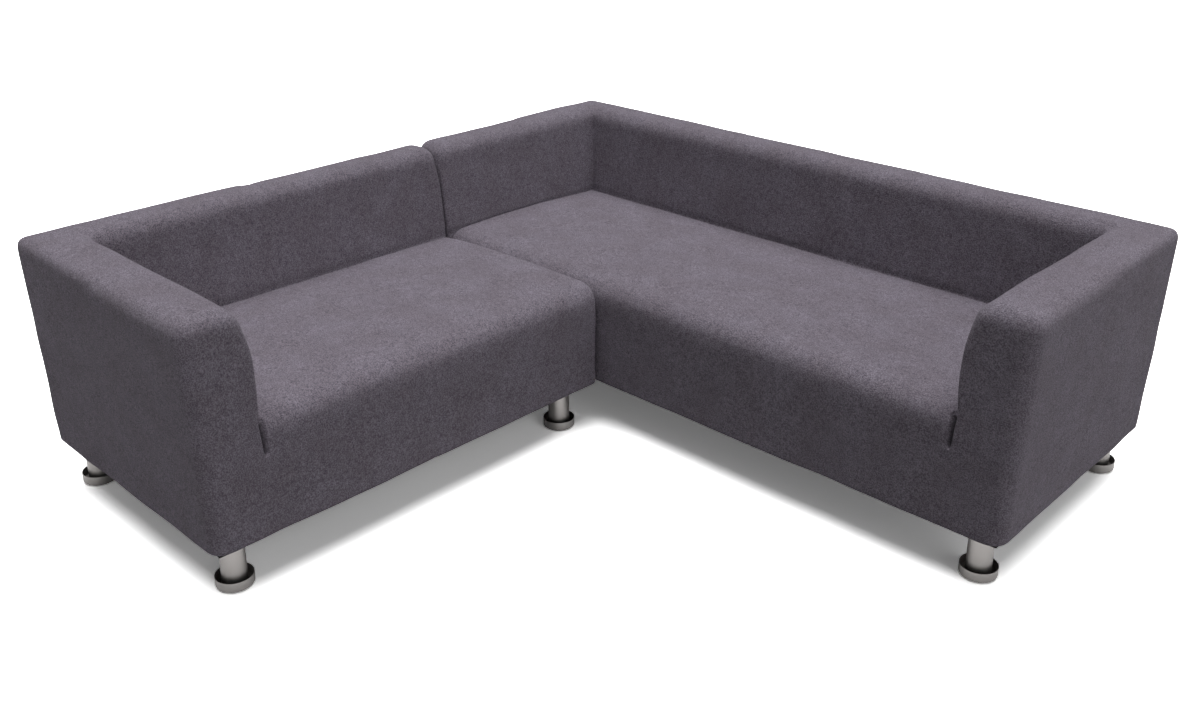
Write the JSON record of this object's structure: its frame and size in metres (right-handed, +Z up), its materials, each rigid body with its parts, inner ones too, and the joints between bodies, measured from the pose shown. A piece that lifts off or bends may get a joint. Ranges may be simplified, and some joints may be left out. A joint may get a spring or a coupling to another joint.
{
  "type": "corner sofa",
  "caption": "L-shaped corner sofa of two upholstered modules with low backs and arms, on round steel legs with screw feet.",
  "frame": {"origin": "centre of the bounding box on the floor", "axes": "+X along the long module towards its arm, +Y towards its back, +Z up; the short module runs along -Y at the -X end"},
  "size_m": [2.04, 2.03, 0.7],
  "materials": {
    "cover_fabric": "matte",
    "dust_cloth": "matte",
    "foam": "matte",
    "webbing": "matte",
    "frame_wood": "matte",
    "hardboard": "matte",
    "satin_steel": "satin",
    "zinc_steel": "satin",
    "bush_plastic": "matte",
    "glide_plastic": "matte"
  },
  "bodies": {
    "long_module": {"long_front_rail": "frame_wood", "long_rear_rail": "frame_wood", "long_cross_rails": "frame_wood", "long_corner_blocks": "frame_wood", "long_posts": "frame_wood", "long_back_top_rail": "frame_wood", "long_side_top_rails": "frame_wood", "long_side_boards": "hardboard", "long_back_board": "hardboard", "long_seat_webbing": "webbing", "long_arm_foam": "foam", "long_back_foam": "foam", "long_seat_foam": "foam", "long_cover": "cover_fabric", "long_leg_tubes": "satin_steel", "long_leg_bolts": "zinc_steel", "long_leg_inserts": "zinc_steel", "long_leg_bushes": "bush_plastic", "long_dust_cloth": "dust_cloth", "long_return_foam": "foam", "connector_plates": "zinc_steel", "connector_screws": "zinc_steel"},
    "short_module": {"short_front_rail": "frame_wood", "short_rear_rail": "frame_wood", "short_cross_rails": "frame_wood", "short_corner_blocks": "frame_wood", "short_posts": "frame_wood", "short_back_top_rail": "frame_wood", "short_side_top_rails": "frame_wood", "short_side_boards": "hardboard", "short_back_board": "hardboard", "short_seat_webbing": "webbing", "short_arm_foam": "foam", "short_back_foam": "foam", "short_seat_foam": "foam", "short_cover": "cover_fabric", "short_leg_tubes": "satin_steel", "short_leg_bolts": "zinc_steel", "short_leg_inserts": "zinc_steel", "short_leg_bushes": "bush_plastic", "short_dust_cloth": "dust_cloth", "connector_pins": "zinc_steel"},
    "glide_long_front_corner": {"glide_long_front_corner": "glide_plastic"},
    "cup_long_front_corner": {"cup_long_front_corner": "satin_steel"},
    "glide_long_front_arm": {"glide_long_front_arm": "glide_plastic"},
    "cup_long_front_arm": {"cup_long_front_arm": "satin_steel"},
    "glide_long_rear_corner": {"glide_long_rear_corner": "glide_plastic"},
    "cup_long_rear_corner": {"cup_long_rear_corner": "satin_steel"},
    "glide_long_rear_arm": {"glide_long_rear_arm": "glide_plastic"},
    "cup_long_rear_arm": {"cup_long_rear_arm": "satin_steel"},
    "glide_short_front_arm": {"glide_short_front_arm": "glide_plastic"},
    "cup_short_front_arm": {"cup_short_front_arm": "satin_steel"},
    "glide_short_front_inner": {"glide_short_front_inner": "glide_plastic"},
    "cup_short_front_inner": {"cup_short_front_inner": "satin_steel"},
    "glide_short_rear_arm": {"glide_short_rear_arm": "glide_plastic"},
    "cup_short_rear_arm": {"cup_short_rear_arm": "satin_steel"},
    "glide_short_rear_inner": {"glide_short_rear_inner": "glide_plastic"},
    "cup_short_rear_inner": {"cup_short_rear_inner": "satin_steel"}
  },
  "joints": [
    {"name": "lift_short_module", "type": "slide", "parent": "long_module", "child": "short_module", "axis": [0, 0, 1], "range_m": [0, 0.06]},
    {"name": "height_long_front_corner", "type": "slide", "parent": "long_module", "child": "glide_long_front_corner", "axis": [0, 0, -1], "range_m": [0, 0.015]},
    {"name": "turn_long_front_corner", "type": "hinge", "parent": "glide_long_front_corner", "child": "cup_long_front_corner", "pos_m": [-0.94, 0.299, 0.003], "axis": [0, 0, -1], "range_deg": [0, 3600]},
    {"name": "height_long_front_arm", "type": "slide", "parent": "long_module", "child": "glide_long_front_arm", "axis": [0, 0, -1], "range_m": [0, 0.015]},
    {"name": "turn_long_front_arm", "type": "hinge", "parent": "glide_long_front_arm", "child": "cup_long_front_arm", "pos_m": [0.91689, 0.299, 0.003], "axis": [0, 0, -1], "range_deg": [0, 3600]},
    {"name": "height_long_rear_corner", "type": "slide", "parent": "long_module", "child": "glide_long_rear_corner", "axis": [0, 0, -1], "range_m": [0, 0.015]},
    {"name": "turn_long_rear_corner", "type": "hinge", "parent": "glide_long_rear_corner", "child": "cup_long_rear_corner", "pos_m": [-0.94, 0.969, 0.003], "axis": [0, 0, -1], "range_deg": [0, 3600]},
    {"name": "height_long_rear_arm", "type": "slide", "parent": "long_module", "child": "glide_long_rear_arm", "axis": [0, 0, -1], "range_m": [0, 0.015]},
    {"name": "turn_long_rear_arm", "type": "hinge", "parent": "glide_long_rear_arm", "child": "cup_long_rear_arm", "pos_m": [0.91689, 0.969, 0.003], "axis": [0, 0, -1], "range_deg": [0, 3600]},
    {"name": "height_short_front_arm", "type": "slide", "parent": "short_module", "child": "glide_short_front_arm", "axis": [0, 0, -1], "range_m": [0, 0.015]},
    {"name": "turn_short_front_arm", "type": "hinge", "parent": "glide_short_front_arm", "child": "cup_short_front_arm", "pos_m": [-0.304, -0.91189, 0.003], "axis": [0, 0, -1], "range_deg": [0, 3600]},
    {"name": "height_short_front_inner", "type": "slide", "parent": "short_module", "child": "glide_short_front_inner", "axis": [0, 0, -1], "range_m": [0, 0.015]},
    {"name": "turn_short_front_inner", "type": "hinge", "parent": "glide_short_front_inner", "child": "cup_short_front_inner", "pos_m": [-0.304, 0.134, 0.003], "axis": [0, 0, -1], "range_deg": [0, 3600]},
    {"name": "height_short_rear_arm", "type": "slide", "parent": "short_module", "child": "glide_short_rear_arm", "axis": [0, 0, -1], "range_m": [0, 0.015]},
    {"name": "turn_short_rear_arm", "type": "hinge", "parent": "glide_short_rear_arm", "child": "cup_short_rear_arm", "pos_m": [-0.974, -0.91189, 0.003], "axis": [0, 0, -1], "range_deg": [0, 3600]},
    {"name": "height_short_rear_inner", "type": "slide", "parent": "short_module", "child": "glide_short_rear_inner", "axis": [0, 0, -1], "range_m": [0, 0.015]},
    {"name": "turn_short_rear_inner", "type": "hinge", "parent": "glide_short_rear_inner", "child": "cup_short_rear_inner", "pos_m": [-0.974, 0.134, 0.003], "axis": [0, 0, -1], "range_deg": [0, 3600]}
  ],
  "couplings": [
    {"joint": "height_long_front_corner", "follows": "turn_long_front_corner", "m_per_rad": 0.00023873},
    {"joint": "height_long_front_arm", "follows": "turn_long_front_arm", "m_per_rad": 0.00023873},
    {"joint": "height_long_rear_corner", "follows": "turn_long_rear_corner", "m_per_rad": 0.00023873},
    {"joint": "height_long_rear_arm", "follows": "turn_long_rear_arm", "m_per_rad": 0.00023873},
    {"joint": "height_short_front_arm", "follows": "turn_short_front_arm", "m_per_rad": 0.00023873},
    {"joint": "height_short_front_inner", "follows": "turn_short_front_inner", "m_per_rad": 0.00023873},
    {"joint": "height_short_rear_arm", "follows": "turn_short_rear_arm", "m_per_rad": 0.00023873},
    {"joint": "height_short_rear_inner", "follows": "turn_short_rear_inner", "m_per_rad": 0.00023873}
  ]
}
